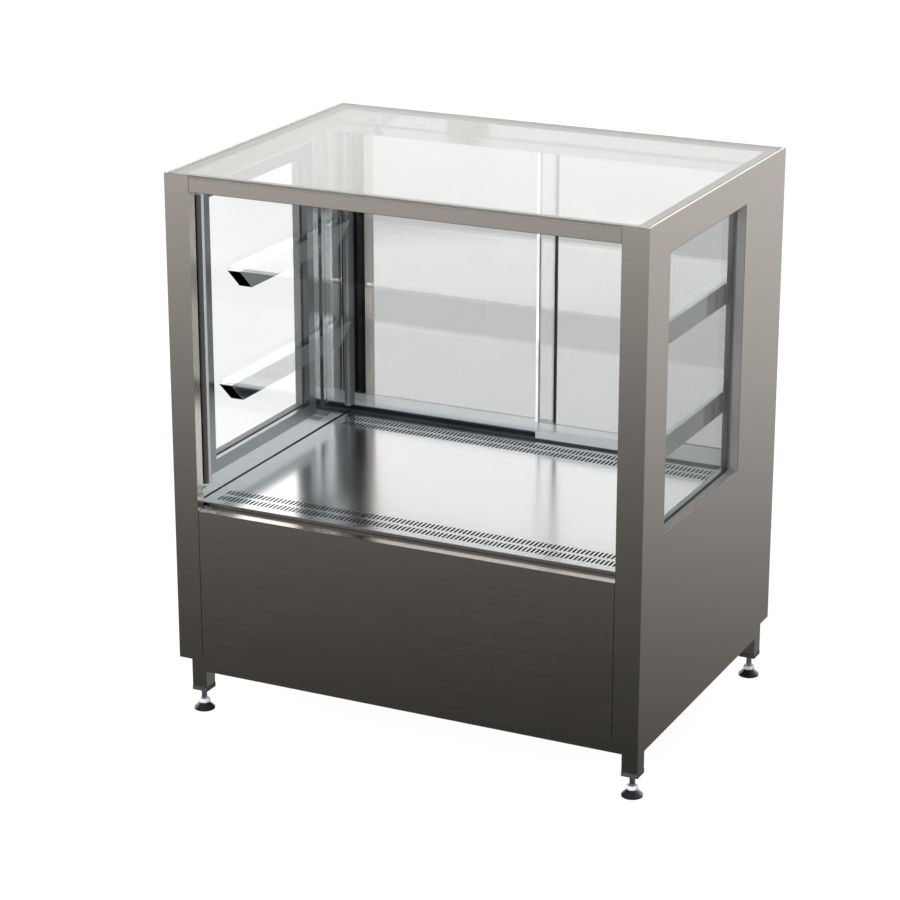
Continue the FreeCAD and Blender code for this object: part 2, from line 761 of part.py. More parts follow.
def track_outline(base, lip, rib, floor):
    """An E-shaped track section in Y and Z; base is its closed side, lip and rib its open side."""
    start = back("track_front")
    front, rear = back("front_door_back"), back("rear_door_back")
    end = f"{start} + track_depth"
    return [
        (start, base), (end, base), (end, lip),
        (f"{rear} + groove_half", lip), (f"{rear} + groove_half", floor),
        (f"{rear} - groove_half", floor), (f"{rear} - groove_half", rib),
        (f"{front} + groove_half", rib), (f"{front} + groove_half", floor),
        (f"{front} - groove_half", floor), (f"{front} - groove_half", lip), (start, lip)]


def make_tracks():
    """The hollow bottom track, with low lips and a higher rib, and the top track."""
    span = (f"-{INNER}", INNER)
    start = back("track_front")
    end = f"{start} + track_depth"
    bottom = prism("YZ_Plane", span, track_outline(SILL, "track_lip", "track_rib", "track_floor"))
    add_pad(bottom, "YZ_Plane", span, rectangle(end, REAR, SILL, f"{SILL} + skin"))
    add_pocket(bottom, "YZ_Plane", span, rectangle(
        f"{start} + track_wall", f"{end} - track_wall",
        f"{SILL} + track_wall", "track_floor - track_wall"))
    node("door_bottom_track", bottom)
    node("door_top_track", prism("YZ_Plane", span, track_outline(
        RAIL_LOW, TOP_TRACK_LOW, TOP_TRACK_LOW, f"{RAIL_LOW} - skin")))


def make_posts():
    """The rear posts behind the doors, with rubber where the doors close and on the posts' edges."""
    height = (f"{SILL} + skin", RAIL_LOW)
    front = back("post_front")
    post = prism("XY_Plane", height, rectangle(f"-{INNER}", f"-{POST_INNER}", front, REAR))
    add_pocket(post, "XY_Plane", height, rectangle(
        f"-{INNER} + skin", f"-{POST_INNER} - skin", f"{front} + skin", f"{REAR} - skin"))
    node("rear_posts", pair(post))
    stop = block((f"-{INNER}", f"-{INNER} + bumper_thick"),
                 (back("track_front"), back("track_front + track_depth")), ("track_rib", TOP_TRACK_LOW))
    seal = block((f"-{POST_INNER}", f"-{POST_INNER} + jamb_seal"),
                 (front, f"{front} + jamb_seal_depth"), height)
    node("door_bumpers", group(stop, mirrored(stop), seal, mirrored(seal)))


def on_side(side, inner, outer):
    """The span from an inner to an outer X place, on the side given by its sign."""
    return (inner, outer) if side > 0 else (f"-({outer})", f"-({inner})")


def make_doors():
    """Two glass doors that slide past each other; the right one runs in the front groove."""
    shoe_low = "track_floor + air_gap"
    shoe_top = f"{shoe_low} + shoe_height"
    glass_top = f"{RAIL_LOW} - door_top_gap"
    for name, depth, side in (("right", "front_door_back", 1), ("left", "rear_door_back", -1)):
        middle = back(depth)
        rear = f"{middle} + pane / 2"
        glass_y = (f"{middle} - pane / 2", rear)
        door_x = on_side(side, "-door_overlap / 2", DOOR_END)
        node(f"{name}_door_glass", block(door_x, glass_y, (f"{shoe_low} + shoe_seat", glass_top)))
        shoe = cut(block(door_x, (f"{middle} - shoe_half", f"{middle} + shoe_half"), (shoe_low, shoe_top)),
                   block(door_x, glass_y, (f"{shoe_low} + shoe_seat", shoe_top)))
        node(f"{name}_door_shoe", shoe)
        pull_z = (f"{shoe_top} + air_gap", f"{TOP_TRACK_LOW} - pull_top_gap")
        pull = cut(block(on_side(side, "pull_side", "pull_side + pull_width"),
                         (rear, f"{rear} + pull_depth"), pull_z),
                   block(on_side(side, "pull_side + pull_wall", "pull_side + pull_width"),
                         (f"{rear} + pull_wall", f"{rear} + pull_depth - pull_wall"), pull_z))
        node(f"{name}_door_edge", pull)


# ---------------------------------------------------------------- shelves and lights

def make_arm(level, front):
    """A hollow shelf arm, mitred at both ends so that its top is the longer edge."""
    x = (f"-{INNER} + upright_thick", f"-{INNER} + upright_thick + arm_width")
    low = f"{level} - arm_height"
    body = prism("YZ_Plane", x, [
        (back(front), level), (f"{back(front)} + arm_mitre_front", low),
        (f"{back('arm_rear')} - arm_mitre_rear", low), (back("arm_rear"), level)])
    hollow_z = (f"{low} + skin", f"{level} - skin")
    add_pocket(body, "XZ_Plane", (f"{back(front)} - 1", f"{back('arm_rear')} + 1"),
               rectangle(f"{x[0]} + skin", f"{x[1]} - skin", *hollow_z))
    return body


def make_shelves():
    upright_x = (f"-{INNER}", f"-{INNER} + upright_thick")
    upright = block(upright_x, (back("upright_front"), back("upright_rear")),
                    ("upright_low", f"{RAIL_LOW} - upright_top_gap"))
    middle = back("(upright_front + upright_rear) / 2")
    holes = [rod("x", (f"-{INNER} - 1", middle, z), "upright_thick + 2", "screw_radius")
             for z in upright_screws()]
    node("shelf_uprights", pair(cut(upright, *holes)))
    for name in ("upper", "lower"):
        level, front = f"{name}_arm_level", f"{name}_arm_front"
        node(f"{name}_shelf_arms", pair(make_arm(level, front)))
        half = f"({INNER} - shelf_side_gap)"
        node(f"{name}_shelf_glass", block(
            (f"-{half}", half), (back(f"{front} + 2"), back("arm_rear + 2")),
            (f"{level} + air_gap", f"{level} + air_gap + shelf_pane")))


def upright_screws():
    """Screw heights on each shelf upright."""
    return "upright_low + upright_screw_inset", f"{RAIL_LOW} - upright_top_gap - upright_screw_inset"


def make_lights():
    """A round lamp behind each front stile: a grey tube with a frosted lens let into it."""
    x, y = f"(-{INNER} + lamp_radius + lamp_gap)", back("lamp_back")
    tube = rod("z", (x, y, "lamp_low"), "lamp_high - lamp_low", "lamp_radius")
    lens_y = (f"{y} - lens_half", f"{y} + lens_half")
    height = ("lamp_low", "lamp_high")
    node("led_profiles", pair(cut(tube, block(
        (f"{x} + lens_start", f"{x} + lamp_radius + lens_drop"), lens_y, height))))
    node("led_lenses", pair(block(
        (f"{x} + lens_start", f"{x} + lamp_radius - lens_drop"), lens_y, height)))


# ---------------------------------------------------------------- cooling and electrics

def pipe_drops():
    """Where the refrigerant pipes pass through the tank's floor."""
    return (("compressor_side + 20", back("compressor_back - 120")),
            ("compressor_side + 60", back("compressor_back - 120")))


def fin_block(x, y, z, fins, tubes):
    """A finned coil: a row of thin plates on straight tubes."""
    fin_x = f"(({x[1]}) - ({x[0]}) - fin) / ({fins} - 1)"
    plates = [block((f"{x[0]} + {number} * {fin_x}", f"{x[0]} + {number} * {fin_x} + fin"), y, z)
              for number in range(fins)]
    pipes = []
    for level in range(tubes):
        for depth in range(2):
            place_y = f"({y[0]}) + (({y[1]}) - ({y[0]})) * {depth * 2 + 1} / 4"
            place_z = f"({z[0]}) + (({z[1]}) - ({z[0]})) * {2 * level + 1} / {2 * tubes}"
            pipes.append(rod("x", (f"{x[0]} - coil_pipe_end", place_y, place_z),
                             f"({x[1]}) - ({x[0]}) + 2 * coil_pipe_end", "coil_pipe"))
    return fuse(*plates, *pipes)


def fan(x, y, z, depth, radius, hub, width, blades):
    """A fan's frame with its motor hub, and its rotor, both on a Y axis."""
    half = f"({radius}) + fan_frame_edge"
    frame_box = block((f"{x} - ({half})", f"{x} + {half}"), (y, f"{y} + {depth}"),
                      (f"{z} - ({half})", f"{z} + {half}"))
    tunnel = rod("y", (x, f"{y} - 1", z), f"{depth} + 2", f"{radius} + fan_tip_gap")
    spoke = f"({radius}) + fan_arm"
    arm_y = (y, f"{y} + fan_arm")
    arms = fuse(
        block((f"{x} - ({spoke})", f"{x} + {spoke}"), arm_y, (f"{z} - fan_arm", f"{z} + fan_arm")),
        block((f"{x} - fan_arm", f"{x} + fan_arm"), arm_y, (f"{z} - ({spoke})", f"{z} + {spoke}")),
        rod("y", (x, y, z), f"{depth} / 3", hub))
    bore = rod("y", (x, f"{y} - 1", z), f"{depth}", "fan_shaft + air_gap")
    frame = cut(fuse(cut(frame_box, tunnel), arms), bore)
    start = f"{y} + {depth} / 3 + air_gap"
    parts = [rod("y", (x, start, z), f"{depth} / 2", hub),
             rod("y", (x, f"{y} + 1", z), f"{depth} / 2", "fan_shaft")]
    for number in range(blades):
        blade = doc.addObject("Part::Box", "blade")
        blade.setExpression("Length", bound(f"{radius} - ({hub}) + blade_root"))
        blade.setExpression("Width", bound("blade"))
        blade.setExpression("Height", bound(width))
        around = FreeCAD.Rotation(FreeCAD.Vector(0, 1, 0), 360 * number / blades)
        pitch = FreeCAD.Rotation(FreeCAD.Vector(1, 0, 0), 50)
        turned_by = around.multiply(pitch)
        blade.Placement = FreeCAD.Placement(ORIGIN, turned_by)
        out = around.multVec(FreeCAD.Vector(1, 0, 0))
        drop = turned_by.multVec(FreeCAD.Vector(0, 0, 1))
        half_width = f"({width}) / 2"
        blade.setExpression("Placement.Base.x", bound(
            f"{x} + ({hub} - blade_root) * {out.x:.6f} - {half_width} * {drop.x:.6f}"))
        blade.setExpression("Placement.Base.y", bound(
            f"{start} + {depth} / 4 - {half_width} * {drop.y:.6f}"))
        blade.setExpression("Placement.Base.z", bound(
            f"{z} + ({hub} - blade_root) * {out.z:.6f} - {half_width} * {drop.z:.6f}"))
        parts.append(blade)
    return frame, fuse(*parts)


def bent_pipe(corners, radius, bend):
    """A pipe along straight runs joined by tangent arcs."""
    points = [FreeCAD.Vector(*corner) for corner in corners]
    edges = []
    start = points[0]
    for before, corner, after in zip(points, points[1:], points[2:]):
        into = (corner - before).normalize()
        out = (after - corner).normalize()
        turn = into.getAngle(out)
        reach = bend * math.tan(turn / 2)
        arc_start, arc_end = corner - into * reach, corner + out * reach
        inward = (out - into).normalize()
        middle = corner + inward * (bend / math.cos(turn / 2) - bend)
        edges.append(Part.LineSegment(start, arc_start).toShape())
        edges.append(Part.Arc(arc_start, middle, arc_end).toShape())
        start = arc_end
    edges.append(Part.LineSegment(start, points[-1]).toShape())
    path = Part.Wire(edges)
    direction = (points[1] - points[0]).normalize()
    ring = Part.Wire([Part.Circle(points[0], direction, radius).toShape()])
    return path.makePipeShell([ring], True, False)


def number_of(alias):
    return float(sheet.get(alias))


def make_cooling():
    """Compressor, condenser and fan under the tank; evaporator and fan inside it."""
    reach, base = "compressor_radius", "compressor_low"
    shell = turned("compressor_side", back("compressor_back"), [
        ("0", base), (f"{reach} - 14", base), (reach, f"{base} + 16"), (reach, "compressor_high - 34"),
        (f"{reach} - 12", "compressor_high - 12"), (f"{reach} - 34", "compressor_high"),
        ("0", "compressor_high")])
    x, y = "compressor_side", back("compressor_back")
    mount_low = f"{base} - mount_plate"
    mount = block((f"{x} - mount_half_width", f"{x} + mount_half_width"),
                  (f"{y} - mount_half_depth", f"{y} + mount_half_depth"), (mount_low, base))
    grommets = [rod("z", (f"{x} {side} grommet_side", f"{y} {depth} grommet_depth", "panel_bottom"),
                    f"{mount_low} - panel_bottom", "grommet_radius") for side in "+-" for depth in "+-"]
    node("compressor", fuse(shell, mount, *grommets))

    condenser_x = ("condenser_left", "condenser_right")
    node("condenser_coil", fin_block(condenser_x, (back("condenser_front"), back("condenser_back")),
                                     ("coil_low", "coil_high"), 25, 5))
    frame, rotor = fan("fan_side", back("fan_front"), "(coil_low + coil_high) / 2",
                       "fan_depth", "fan_radius", "hub_radius", "condenser_blade", 7)
    node("condenser_fan_frame", frame)
    node("condenser_fan_rotor", rotor)

    coil_x = ("-evaporator_half", "evaporator_half")
    node("evaporator_coil", fin_block(coil_x, (back("evaporator_front"), back("evaporator_back")),
                                      ("evaporator_low", "evaporator_high"), 31, 3))
    chill_level = "(tank_floor + liner + chill_fan_radius + fan_frame_edge)"
    frame, rotor = fan("0", back("chill_fan_front"), chill_level,
                       "chill_fan_depth", "chill_fan_radius", "chill_hub_radius", "chill_blade", 7)
    node("evaporator_fan_frame", frame)
    node("evaporator_fan_rotor", rotor)
    make_pipes()


def make_pipes():
    """The suction and liquid pipes between the machine space and the evaporator."""
    half_depth = number_of("case_depth") / 2
    side, depth = number_of("compressor_side"), number_of("compressor_back") - half_depth
    low, high = number_of("compressor_high"), number_of("evaporator_high")
    drop_y = depth - 120
    coil_y = number_of("evaporator_back") - half_depth + 20
    lift = number_of("evaporator_low") + 12
    reach = number_of("compressor_radius")
    runs = (
        [(side + 20, depth - reach + 8, low - 60), (side + 20, drop_y, low - 60),
         (side + 20, drop_y, lift), (side + 20, coil_y - 19, lift)],
        [(side + 60, depth - reach + 30, low - 90), (side + 60, drop_y, low - 90),
         (side + 60, drop_y, lift), (side + 60, coil_y - 19, lift)],
    )
    pipes = doc.addObject("Part::Feature", "pipes")
    pipes.Shape = Part.makeCompound([bent_pipe(run, radius, 14) for run, radius in zip(runs, (5, 3.5))])
    node("refrigerant_pipes", pipes)


def make_controls():
    """Thermostat knob, rocker switch and cable gland on the rear panel, and the screws."""
    face = f"({REAR} - rear_recess)"
    spindle = rod("y", ("knob_side", f"{face} - knob_depth", "knob_level"), "knob_depth + 1",
                  "spindle_radius")
    cap = rod("y", ("knob_side", f"{face} + air_gap", "knob_level"), "knob_depth", "knob_radius")
    rib = block(("knob_side - knob_rib / 2", "knob_side + knob_rib / 2"),
                (f"{face} + knob_depth", f"{face} + knob_depth + knob_rib"),
                ("knob_level - knob_radius + 1", "knob_level + knob_radius - 1"))
    node("thermostat_knob", fuse(spindle, cap, rib))
    inside = f"{face} - rocker_depth"
    rocker = prism("YZ_Plane", ("switch_side - rocker_half_width", "switch_side + rocker_half_width"), [
        (inside, "knob_level - rocker_half_height"), (f"{face} + 2", "knob_level - rocker_half_height - 2.5"),
        (f"{face} + 3.2", "knob_level"), (f"{face} + 5.5", "knob_level + rocker_half_height + 2.5"),
        (inside, "knob_level + rocker_half_height")])
    pivot = rod("x", ("switch_side - switch_half_width", f"{face} - rocker_pivot_depth", "knob_level"),
                "2 * switch_half_width", "rocker_pivot_radius")
    node("power_switch", fuse(rocker, pivot))
    flange = rod("y", ("gland_side", face, "gland_level"), "gland_flange", "gland_flange_radius")
    nose = rod("y", ("gland_side", f"{face} - gland_inside", "gland_level"),
               "gland_inside + gland_outside", "gland_radius")
    bore = rod("y", ("gland_side", f"{face} - gland_inside - 1", "gland_level"),
               "gland_inside + gland_outside + 2", "gland_bore")
    node("cable_gland", cut(fuse(flange, nose), bore))

    screws = [fuse(rod("y", (x, face, z), "screw_head_height", "screw_head_radius"),
                   rod("y", (x, f"{face} - 4 * screw_radius", z), "4 * screw_radius", "screw_radius"))
              for x, z in rear_screws()]
    middle = back("(upright_front + upright_rear) / 2")
    for z in upright_screws():
        inner = f"-{INNER} + upright_thick"
        screw = fuse(rod("x", (inner, middle, z), "screw_head_height", "screw_head_radius"),
                     rod("x", (f"-{INNER}", middle, z), "upright_thick", "screw_radius"))
        screws += [screw, mirrored(screw)]
    node("screws", group(*screws))


# ---------------------------------------------------------------- build, check and write

make_base()
make_feet()
make_sides()
make_insulation()
make_tank()
make_top()
make_panels()
make_deck()
make_tracks()
make_posts()
make_doors()
make_shelves()
make_lights()
make_cooling()
make_controls()
doc.recompute()

faults = [f"{item.Label}: {item.State}" for item in doc.Objects
          if "Invalid" in item.State or "Error" in item.State]
for hollow in pockets:
    if hollow.Shape.isNull() or hollow.Shape.Volume > hollow.BaseFeature.Shape.Volume - 1:
        faults.append(f"{hollow.Name} cuts nothing")
for item in nodes:
    if item.Shape.isNull() or not item.Shape.isValid() or not item.Shape.Solids:
        faults.append(f"{item.Label}: bad shape")
if faults:
    raise SystemExit("\n".join(faults))

os.makedirs("parts", exist_ok=True)
for item in nodes:
    item.Shape.exportStep(f"parts/{item.Label}.step")
    print(f"{item.Label}: {len(item.Shape.Solids)} solids, {item.Shape.Volume / 1000:.1f} cm3")
print(len(nodes), "nodes")
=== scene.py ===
"""Looks of the bakery display case: finished edges, trim, materials, light and camera.

Metres, in the CAD frame: +X to the customer's right, +Y to the staff side, +Z up, floor at 0.
"""
import json
import math

import bmesh
import bpy
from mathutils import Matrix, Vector


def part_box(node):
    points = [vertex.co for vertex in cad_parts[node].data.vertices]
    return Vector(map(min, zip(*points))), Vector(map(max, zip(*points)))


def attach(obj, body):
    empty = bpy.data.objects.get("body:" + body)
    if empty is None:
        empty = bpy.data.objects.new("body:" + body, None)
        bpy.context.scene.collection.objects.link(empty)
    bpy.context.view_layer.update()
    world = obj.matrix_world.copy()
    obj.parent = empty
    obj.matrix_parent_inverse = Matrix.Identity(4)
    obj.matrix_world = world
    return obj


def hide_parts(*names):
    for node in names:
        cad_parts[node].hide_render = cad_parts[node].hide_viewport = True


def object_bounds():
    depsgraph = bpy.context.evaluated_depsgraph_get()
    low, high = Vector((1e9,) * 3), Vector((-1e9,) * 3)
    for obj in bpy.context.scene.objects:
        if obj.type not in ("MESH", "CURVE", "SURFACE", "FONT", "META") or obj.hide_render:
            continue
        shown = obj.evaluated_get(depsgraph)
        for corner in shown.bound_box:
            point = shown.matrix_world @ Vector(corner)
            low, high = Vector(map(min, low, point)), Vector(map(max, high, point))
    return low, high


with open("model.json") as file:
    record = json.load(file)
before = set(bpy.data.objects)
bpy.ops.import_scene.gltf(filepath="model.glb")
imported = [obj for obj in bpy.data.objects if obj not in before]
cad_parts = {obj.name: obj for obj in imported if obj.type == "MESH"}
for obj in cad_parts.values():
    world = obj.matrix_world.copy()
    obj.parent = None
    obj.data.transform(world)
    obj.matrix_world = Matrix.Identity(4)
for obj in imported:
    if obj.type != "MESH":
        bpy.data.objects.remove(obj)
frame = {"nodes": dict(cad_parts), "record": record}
cad_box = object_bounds()

CASE = "case"
CORNERS = ("front_left", "front_right", "rear_left", "rear_right")
MM = 0.001

# Camera: a long lens, above the case and to its right. Lens in millimetres, angles in degrees.
LENS_LENGTH = 112.78
SENSOR_WIDTH = 36
FAR_CLIP = 100
CAMERA_PLACE = (2.0573, -4.3818, 2.1279)
CAMERA_AZIMUTH = 25.785
CAMERA_ELEVATION = 18.823

# Area lamps: name, place, size and watts. All point at the middle of the case.
LAMP_TARGET = (0, 0, 0.5)
LAMPS = (
    ("key", (-1.5, -3.5, 3.5), (4, 3), 170),
    ("top", (0.0, 0.5, 4.5), (5, 5), 130),
    ("fill", (0.6, -4.5, 1.6), (3, 2), 280),
)

# Floor: dark, with a white glow.
FLOOR_SIZE = 60
FLOOR_COLOUR = (0.08, 0.08, 0.08, 1)
FLOOR_ROUGHNESS = 0.9
FLOOR_GLOW = 0.94

# Studio that reflections show. Depth runs from -1 in front to 1 at the back, and height from -1
# underfoot to 1 overhead. Pairs are a span's start and end.
STUDIO_TINT = (1.0, 0.985, 0.96, 1)
BACK_SPAN = (-0.8, 0.8)
DARK_BELOW, DARK_LOWER_AT_BACK, DARK_SOFTNESS = 0.235, 0.0835, 0.055
FLOOR_LEVEL, FLOOR_CHANGE_AT_BACK = 1.03, -0.23
OVERHEAD_SPAN, OVERHEAD_SHARE = (0.45, 0.75), 0.3
FRONT_SPAN, FRONT_HEIGHT_SPAN, FRONT_CHANGE = (0.15, -0.25), (0.0, 0.08), -0.93
# Height on the sky, and the light added there.
SKY_STOPS = ((0.0, 0.0), (0.05, 1.0), (0.245, 1.0), (0.253, 2.5), (0.268, 2.4), (0.285, 1.8),
             (0.31, 1.75), (0.335, 1.2), (0.45, 1.2))
SKY_PEAK = max(level for _, level in SKY_STOPS)

# Noise mostly lies between these two values.
NOISE_LOW, NOISE_HIGH = 0.3, 0.7

# How far noise varies a finish: pairs are the lowest and highest share of a colour or roughness.
FINE_LINE_SCALE = 2.3
STEEL_ROUGHNESS_SHARES, STEEL_BUMP = (0.9, 1.12), 0.1 * MM
PLASTIC_SHADES, PLASTIC_ROUGHNESS_SHARES, PLASTIC_BUMP = (0.9, 1.1), (0.8, 1.25), 0.2 * MM
FROSTED_SHADES, FROSTED_ROUGHNESS = (0.96, 1.03), (0.32, 0.45)
FROSTED_GRAIN, FROSTED_IOR = 300, 1.45
GLASS_SHADES, GLASS_HAZE, GLASS_MIRRORED_STRAIGHT_ON = (0.985, 1.0), 3, 0.04

# Noise scale along X, Y and Z: lines that lie flat, lie flat on polished sheet, run along X,
# run upright, and grain with no direction.
FLAT_LINES = (8, 8, 230)
FINE_FLAT_LINES = (6, 6, 200)
LINES_ALONG_X = (6, 200, 200)
UPRIGHT_LINES = (200, 200, 6)
SPANGLE = (120, 120, 120)
DRAWN_GRAIN = (90, 90, 90)

# The side skins are duller from this height up, on their cut top edges.
CUT_EDGE_HEIGHT = cad_box[1][2] - 0.4 * MM
CUT_EDGE_COLOUR = (0.15, 0.145, 0.138, 1)

# The door glass is lighter within this distance of X = 0, where the doors overlap, and clear in
# front of the pulls.
DOORS_OVERLAP = 16 * MM
CLEAR_TINT = (0.98, 0.98, 0.98)
PULL_MARGIN = 0.5 * MM

SKIN_COLOUR = (0.64, 0.60, 0.555)
STEELS = {
    "brushed_skin": dict(colour=SKIN_COLOUR, roughness=0.15, brush=FLAT_LINES, contrast=0.02),
    "side_skin": dict(colour=SKIN_COLOUR, roughness=0.15, brush=FLAT_LINES, contrast=0.02,
                      dull_above=CUT_EDGE_HEIGHT),
    "inner_steel": dict(colour=(0.54, 0.58, 0.605), roughness=0.07, brush=FINE_FLAT_LINES,
                        contrast=0.012, lines=0.02),
    "deck_steel": dict(colour=(0.78, 0.79, 0.80), roughness=0.18, brush=LINES_ALONG_X,
                       contrast=0.012, lines=0.02),
    "track_steel": dict(colour=(0.36, 0.42, 0.46), roughness=0.16, brush=LINES_ALONG_X,
                        contrast=0.02),
    "lip_steel": dict(colour=(0.36, 0.35, 0.33), roughness=0.25, brush=FLAT_LINES,
                      contrast=0.02),
    "frame_steel": dict(colour=(0.30, 0.325, 0.34), roughness=0.30, brush=FINE_FLAT_LINES,
                        contrast=0.02),
    "galvanised_steel": dict(colour=(0.46, 0.48, 0.58), roughness=0.25, brush=SPANGLE),
    "aluminium": dict(colour=(0.60, 0.59, 0.57), roughness=0.28, brush=UPRIGHT_LINES,
                      contrast=0.03),
    "lamp_grey": dict(colour=(0.22, 0.215, 0.215), roughness=0.38, brush=UPRIGHT_LINES,
                      contrast=0.03),
    "copper": dict(colour=(0.80, 0.45, 0.32), roughness=0.25, brush=DRAWN_GRAIN, contrast=0.06),
}
GLASSES = {
    "clear_glass": dict(colour=(0.965, 0.972, 0.972)),
    "door_glass": dict(colour=(0.722, 0.727, 0.729), meeting=DOORS_OVERLAP),
}
PLASTICS = {
    "black_plastic": dict(colour=(0.012, 0.012, 0.013), roughness=0.12, grain=300, strength=0.03),
    "pull_paint": dict(colour=(0.62, 0.58, 0.53), roughness=0.4, grain=300, strength=0.03),
    "cap_plastic": dict(colour=(0.035, 0.034, 0.032), roughness=0.3),
    "black_rubber": dict(colour=(0.016, 0.016, 0.016), roughness=0.5),
    "seal_rubber": dict(colour=(0.09, 0.088, 0.085), roughness=0.55, grain=200, strength=0.05),
    "stop_rubber": dict(colour=(0.20, 0.21, 0.215), roughness=0.4, grain=300, strength=0.03),
    "lining": dict(colour=(0.165, 0.165, 0.168), roughness=0.5, grain=250, strength=0.05),
    "foam": dict(colour=(0.27, 0.265, 0.255), roughness=0.9, grain=300, strength=0.4),
    "black_enamel": dict(colour=(0.02, 0.02, 0.02), roughness=0.25, grain=90, strength=0.15),
    "display_black": dict(colour=(0.012, 0.013, 0.015), roughness=0.12, grain=300,
                          strength=0.02),
}
FROSTED = {
    "frosted_plastic": dict(colour=(0.86, 0.89, 0.91)),
    "shoe_plastic": dict(colour=(0.60, 0.63, 0.65)),
    "white_seal": dict(colour=(0.96, 0.96, 0.96), clear=0.05),
}

# Nodes whose finish differs from their slot's.
OWN_MATERIAL = {
    "left_outer_skin": "side_skin", "right_outer_skin": "side_skin",
    "window_frames": "frame_steel", "top_side_rails": "lip_steel", "deck_pan": "deck_steel",
    "door_bottom_track": "track_steel", "leg_end_caps": "cap_plastic",
    "left_door_shoe": "shoe_plastic", "right_door_shoe": "shoe_plastic",
    "left_door_edge": "pull_paint", "right_door_edge": "pull_paint",
    "top_glass_seal": "seal_rubber", "led_profiles": "lamp_grey",
}

# Edge radius of each finished node, in millimetres. Sheets take less than half their thickness.
EDGE_RADIUS = {
    "left_outer_skin": 0.25, "right_outer_skin": 0.25, "front_panel": 0.6, "rear_panel": 0.3,
    "left_inner_skin": 0.3, "right_inner_skin": 0.3, "window_frames": 0.5,
    "top_front_rail": 1.0, "top_side_rails": 0.25, "top_rear_rail": 0.6,
    "rear_posts": 0.6, "door_bottom_track": 0.4, "door_top_track": 0.4,
    "deck_pan": 1.0, "shelf_uprights": 0.5, "upper_shelf_arms": 0.5, "lower_shelf_arms": 0.5,
    "left_door_edge": 0.4, "right_door_edge": 0.4, "left_door_shoe": 0.6, "right_door_shoe": 0.6,
    "base_legs": 0.6, "base_long_rails": 0.6, "base_side_rails": 0.6,
    "leg_end_caps": 0.8, "led_profiles": 0.3, "led_lenses": 0.4, "thermostat_knob": 0.8,
    "power_switch": 0.5, "cable_gland": 0.8, "compressor": 1.0, "screws": 0.5,
}
ROUND_NODES = ("leg_end_caps", "led_profiles", "thermostat_knob", "cable_gland", "compressor",
               "screws")
BEVEL_SEGMENTS = 2
SHARP_ANGLE = math.radians(40)
LONG_EDGE = 30 * MM
WELD_DISTANCE = 2e-6

# Trim.
LINING_OVERLAP, LINING_GAP, LINING_THICKNESS = 10 * MM, 0.3 * MM, 1.2 * MM
LINING_SET_BACK, LINING_TO_PANE, LINING_RADIUS = 0.8 * MM, 0.1 * MM, 0.3 * MM
STRIP_PROUD, STRIP_WEB, STRIP_OUTSIDE, STRIP_RADIUS = 1.2 * MM, 1.2 * MM, 0.6 * MM, 0.4 * MM
STRIP_ABOVE_SHOE, STRIP_BESIDE_GLASS = 0.2 * MM, 0.05 * MM
BELOW_TOP_TRACK = 0.5 * MM
# Each door's meeting strip: side, direction to its door, width, slot and material.
MEETING_STRIPS = (
    ("right", 1, 4.6 * MM, "frosted_plastic", "white_seal"),
    ("left", -1, 2.8 * MM, "black_rubber", "black_rubber"),
)
SEAL_WIDTH, STOP_THICKNESS, BUMPER_RADIUS = 9 * MM, 5.5 * MM, 0.8 * MM
# Radius and height above the pad, in millimetres, round the section of a foot's collar.
COLLAR_PROFILE = ((5.6, 6.9), (8.2, 6.9), (9.9, 6.2), (10.3, 5.0), (10.3, 0.2), (9.5, 0.2),
                  (9.5, 5.4), (5.6, 6.3))
COLLAR_STEPS = 48


# ---------------------------------------------------------------- node helpers

def math_node(tree, operation, first, second=None, third=None):
    """One Math node; gives its output socket. Numbers and sockets both work as inputs."""
    node = tree.nodes.new("ShaderNodeMath")
    node.operation = operation
    for place, value in enumerate((first, second, third)):
        if hasattr(value, "node"):
            tree.links.new(value, node.inputs[place])
        elif value is not None:
            node.inputs[place].default_value = value
    return node.outputs[0]


def map_range(tree, value, source, target, smooth=False):
    """Stretch a value from one span to another, straight or as a smooth step."""
    node = tree.nodes.new("ShaderNodeMapRange")
    if smooth:
        node.interpolation_type = "SMOOTHSTEP"
    for name, number in zip(("From Min", "From Max", "To Min", "To Max"), (*source, *target)):
        node.inputs[name].default_value = number
    tree.links.new(value, node.inputs["Value"])
    return node.outputs["Result"]


def coordinate_parts(tree, kind):
    """The X, Y and Z sockets of a texture coordinate."""
    coordinates = tree.nodes.new("ShaderNodeTexCoord")
    split = tree.nodes.new("ShaderNodeSeparateXYZ")
    tree.links.new(coordinates.outputs[kind], split.inputs[0])
    return split.outputs


def stretched_noise(tree, scale, detail=2.0):
    """Noise in object space, with a scale for each axis or one for all."""
    coordinates = tree.nodes.new("ShaderNodeTexCoord")
    mapping = tree.nodes.new("ShaderNodeMapping")
    mapping.inputs["Scale"].default_value = scale if isinstance(scale, tuple) else (scale,) * 3
    noise = tree.nodes.new("ShaderNodeTexNoise")
    noise.inputs["Scale"].default_value = 1.0
    noise.inputs["Detail"].default_value = detail
    noise.inputs["Roughness"].default_value = 0.6
    tree.links.new(coordinates.outputs["Object"], mapping.inputs["Vector"])
    tree.links.new(mapping.outputs[0], noise.inputs["Vector"])
    return noise.outputs["Fac"]


def tinted(colour, factor):
    """A colour made lighter or darker, with its alpha."""
    return tuple(min(1, part * factor) for part in colour) + (1,)


def varied(tree, noise, colour, shares):
    """A colour that goes between two shares of itself with a noise value."""
    node = tree.nodes.new("ShaderNodeValToRGB")
    ends = node.color_ramp.elements
    for end, place, factor in zip(ends, (NOISE_LOW, NOISE_HIGH), shares):
        end.position = place
        end.color = tinted(colour, factor)
    tree.links.new(noise, node.inputs[0])
    return node.outputs["Color"]


